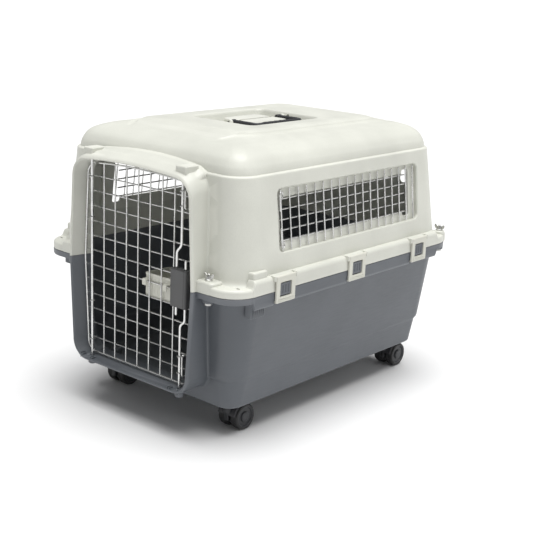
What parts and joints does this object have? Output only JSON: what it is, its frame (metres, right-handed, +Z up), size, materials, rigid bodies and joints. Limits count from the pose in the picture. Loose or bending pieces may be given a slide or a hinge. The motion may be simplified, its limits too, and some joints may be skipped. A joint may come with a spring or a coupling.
{
  "type": "pet transport carrier",
  "caption": "Two-shell plastic pet carrier on twin-wheel casters, with a latched wire door, side window grilles, side clips, a hanging bowl and a folding roof handle.",
  "frame": {"origin": "on the floor, under the middle of the whole carrier", "axes": "+Z up, +Y from the door towards the rear, +X to the right seen from the door"},
  "size_m": [0.518, 0.686, 0.545],
  "materials": {
    "grey_shell": "fine moulded grain, satin",
    "cream_shell": "fine moulded grain, satin",
    "cream_trim": "smooth moulded",
    "latch_plastic": "satin",
    "black_plastic": "satin",
    "wire": "bright zinc or chrome plated wire",
    "steel": "zinc plated"
  },
  "bodies": {
    "carrier": {"lower_shell": "grey_shell", "upper_shell": "cream_shell", "window_grille_right": "wire", "window_grille_left": "wire", "wing_bolt_front_right": "steel", "wing_bolt_front_left": "steel", "wing_bolt_rear_right": "steel", "wing_bolt_rear_left": "steel"},
    "door": {"door_grid": "wire", "hinge_rod": "wire", "latch_housing": "latch_plastic", "latch_cover": "latch_plastic", "upper_latch_spring": "steel", "lower_latch_spring": "steel"},
    "upper_latch": {"upper_latch_rod": "wire"},
    "lower_latch": {"lower_latch_rod": "wire"},
    "bowl": {"food_bowl": "cream_trim"},
    "handle": {"roof_handle": "black_plastic"},
    "clip_right_front": {"side_clip_right_front": "cream_trim"},
    "clip_right_middle": {"side_clip_right_middle": "cream_trim"},
    "clip_right_rear": {"side_clip_right_rear": "cream_trim"},
    "clip_left_front": {"side_clip_left_front": "cream_trim"},
    "clip_left_middle": {"side_clip_left_middle": "cream_trim"},
    "clip_left_rear": {"side_clip_left_rear": "cream_trim"},
    "wing_nut_front_right_body": {"wing_nut_front_right": "steel"},
    "wing_nut_front_left_body": {"wing_nut_front_left": "steel"},
    "wing_nut_rear_right_body": {"wing_nut_rear_right": "steel"},
    "wing_nut_rear_left_body": {"wing_nut_rear_left": "steel"},
    "caster_front_right": {"caster_fork_front_right": "black_plastic", "caster_stem_front_right": "steel"},
    "wheels_front_right": {"wheel_outer_front_right": "black_plastic", "wheel_inner_front_right": "black_plastic", "caster_axle_front_right": "steel"},
    "caster_front_left": {"caster_fork_front_left": "black_plastic", "caster_stem_front_left": "steel"},
    "wheels_front_left": {"wheel_outer_front_left": "black_plastic", "wheel_inner_front_left": "black_plastic", "caster_axle_front_left": "steel"},
    "caster_rear_right": {"caster_fork_rear_right": "black_plastic", "caster_stem_rear_right": "steel"},
    "wheels_rear_right": {"wheel_outer_rear_right": "black_plastic", "wheel_inner_rear_right": "black_plastic", "caster_axle_rear_right": "steel"},
    "caster_rear_left": {"caster_fork_rear_left": "black_plastic", "caster_stem_rear_left": "steel"},
    "wheels_rear_left": {"wheel_outer_rear_left": "black_plastic", "wheel_inner_rear_left": "black_plastic", "caster_axle_rear_left": "steel"}
  },
  "joints": [
    {"name": "door_swing", "type": "hinge", "parent": "carrier", "child": "door", "pos_m": [-0.118, -0.3242, 0.287], "axis": [0, 0, -1], "range_deg": [0, 120]},
    {"name": "upper_latch_slide", "type": "slide", "parent": "door", "child": "upper_latch", "axis": [0, 0, 1], "range_m": [-0.008, 0.01], "deforming": ["upper_latch_spring"]},
    {"name": "lower_latch_slide", "type": "slide", "parent": "door", "child": "lower_latch", "axis": [0, 0, -1], "range_m": [-0.008, 0.01], "deforming": ["lower_latch_spring"]},
    {"name": "bowl_lift", "type": "slide", "parent": "door", "child": "bowl", "axis": [0, 0, 1], "range_m": [0, 0.012]},
    {"name": "handle_lift", "type": "hinge", "parent": "carrier", "child": "handle", "pos_m": [0.002, -0.01, 0.538], "axis": [0, -1, 0], "range_deg": [0, 95]},
    {"name": "clip_right_front_swing", "type": "hinge", "parent": "carrier", "child": "clip_right_front", "pos_m": [0.2566, -0.207, 0.313], "axis": [0, -1, 0], "range_deg": [0, 110]},
    {"name": "clip_right_middle_swing", "type": "hinge", "parent": "carrier", "child": "clip_right_middle", "pos_m": [0.2566, 0.002, 0.313], "axis": [0, -1, 0], "range_deg": [0, 110]},
    {"name": "clip_right_rear_swing", "type": "hinge", "parent": "carrier", "child": "clip_right_rear", "pos_m": [0.2566, 0.211, 0.313], "axis": [0, -1, 0], "range_deg": [0, 110]},
    {"name": "clip_left_front_swing", "type": "hinge", "parent": "carrier", "child": "clip_left_front", "pos_m": [-0.2566, -0.207, 0.313], "axis": [0, 1, 0], "range_deg": [0, 110]},
    {"name": "clip_left_middle_swing", "type": "hinge", "parent": "carrier", "child": "clip_left_middle", "pos_m": [-0.2566, 0.002, 0.313], "axis": [0, 1, 0], "range_deg": [0, 110]},
    {"name": "clip_left_rear_swing", "type": "hinge", "parent": "carrier", "child": "clip_left_rear", "pos_m": [-0.2566, 0.211, 0.313], "axis": [0, 1, 0], "range_deg": [0, 110]},
    {"name": "wing_nut_front_right_spin", "type": "hinge", "parent": "carrier", "child": "wing_nut_front_right_body", "pos_m": [0.178, -0.318, 0.312], "axis": [0, 0, 1], "continuous": true},
    {"name": "wing_nut_front_left_spin", "type": "hinge", "parent": "carrier", "child": "wing_nut_front_left_body", "pos_m": [-0.178, -0.318, 0.312], "axis": [0, 0, 1], "continuous": true},
    {"name": "wing_nut_rear_right_spin", "type": "hinge", "parent": "carrier", "child": "wing_nut_rear_right_body", "pos_m": [0.234, 0.322, 0.312], "axis": [0, 0, 1], "continuous": true},
    {"name": "wing_nut_rear_left_spin", "type": "hinge", "parent": "carrier", "child": "wing_nut_rear_left_body", "pos_m": [-0.234, 0.322, 0.312], "axis": [0, 0, 1], "continuous": true},
    {"name": "caster_swivel_front_right", "type": "hinge", "parent": "carrier", "child": "caster_front_right", "pos_m": [0.155, -0.232, 0.055], "axis": [0, 0, 1], "continuous": true},
    {"name": "wheel_roll_front_right", "type": "hinge", "parent": "caster_front_right", "child": "wheels_front_right", "pos_m": [0.155, -0.21, 0.025], "axis": [1, 0, 0], "continuous": true},
    {"name": "caster_swivel_front_left", "type": "hinge", "parent": "carrier", "child": "caster_front_left", "pos_m": [-0.155, -0.232, 0.055], "axis": [0, 0, 1], "continuous": true},
    {"name": "wheel_roll_front_left", "type": "hinge", "parent": "caster_front_left", "child": "wheels_front_left", "pos_m": [-0.155, -0.21, 0.025], "axis": [1, 0, 0], "continuous": true},
    {"name": "caster_swivel_rear_right", "type": "hinge", "parent": "carrier", "child": "caster_rear_right", "pos_m": [0.155, 0.264, 0.055], "axis": [0, 0, 1], "continuous": true},
    {"name": "wheel_roll_rear_right", "type": "hinge", "parent": "caster_rear_right", "child": "wheels_rear_right", "pos_m": [0.155, 0.286, 0.025], "axis": [1, 0, 0], "continuous": true},
    {"name": "caster_swivel_rear_left", "type": "hinge", "parent": "carrier", "child": "caster_rear_left", "pos_m": [-0.155, 0.264, 0.055], "axis": [0, 0, 1], "continuous": true},
    {"name": "wheel_roll_rear_left", "type": "hinge", "parent": "caster_rear_left", "child": "wheels_rear_left", "pos_m": [-0.155, 0.286, 0.025], "axis": [1, 0, 0], "continuous": true}
  ],
  "couplings": [
    {"joint": "lower_latch_slide", "follows": "upper_latch_slide", "ratio": 1}
  ]
}
